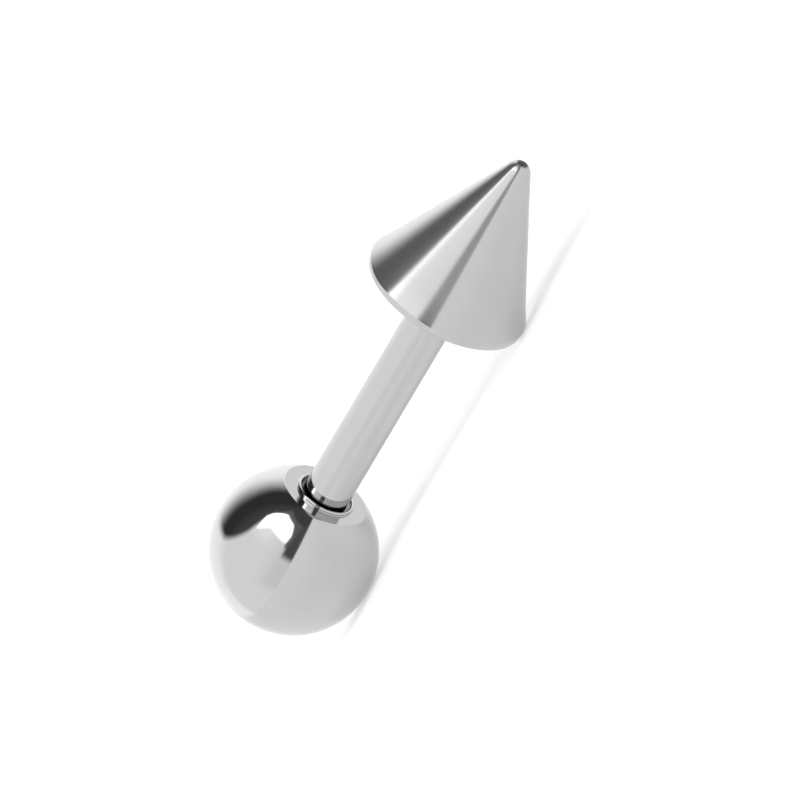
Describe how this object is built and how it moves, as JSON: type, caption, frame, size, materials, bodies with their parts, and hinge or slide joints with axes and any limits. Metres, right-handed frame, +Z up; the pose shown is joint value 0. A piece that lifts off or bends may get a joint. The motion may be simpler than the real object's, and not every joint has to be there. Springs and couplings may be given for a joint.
{
  "type": "straight barbell piercing jewel",
  "caption": "Straight steel barbell for a piercing: a round bar with a screwed-on ball at one end and a screwed-on blunt spike at the other.",
  "frame": {"origin": "under the middle of the barbell's whole length, on the surface that it lies on", "axes": "+X along the barbell from the ball to the spike's tip, +Z up from the surface, +Y across it"},
  "size_m": [0.014, 0.004, 0.004],
  "materials": {
    "polished_steel": "mirror-polished surgical steel"
  },
  "bodies": {
    "bar": {"bar": "polished_steel"},
    "ball": {"ball": "polished_steel"},
    "spike": {"spike": "polished_steel"}
  },
  "joints": [
    {"name": "ball_unscrews", "type": "slide", "parent": "bar", "child": "ball", "axis": [-1, 0, 0], "range_m": [0, 0.01]},
    {"name": "spike_unscrews", "type": "slide", "parent": "bar", "child": "spike", "axis": [1, 0, 0], "range_m": [0, 0.01]}
  ]
}
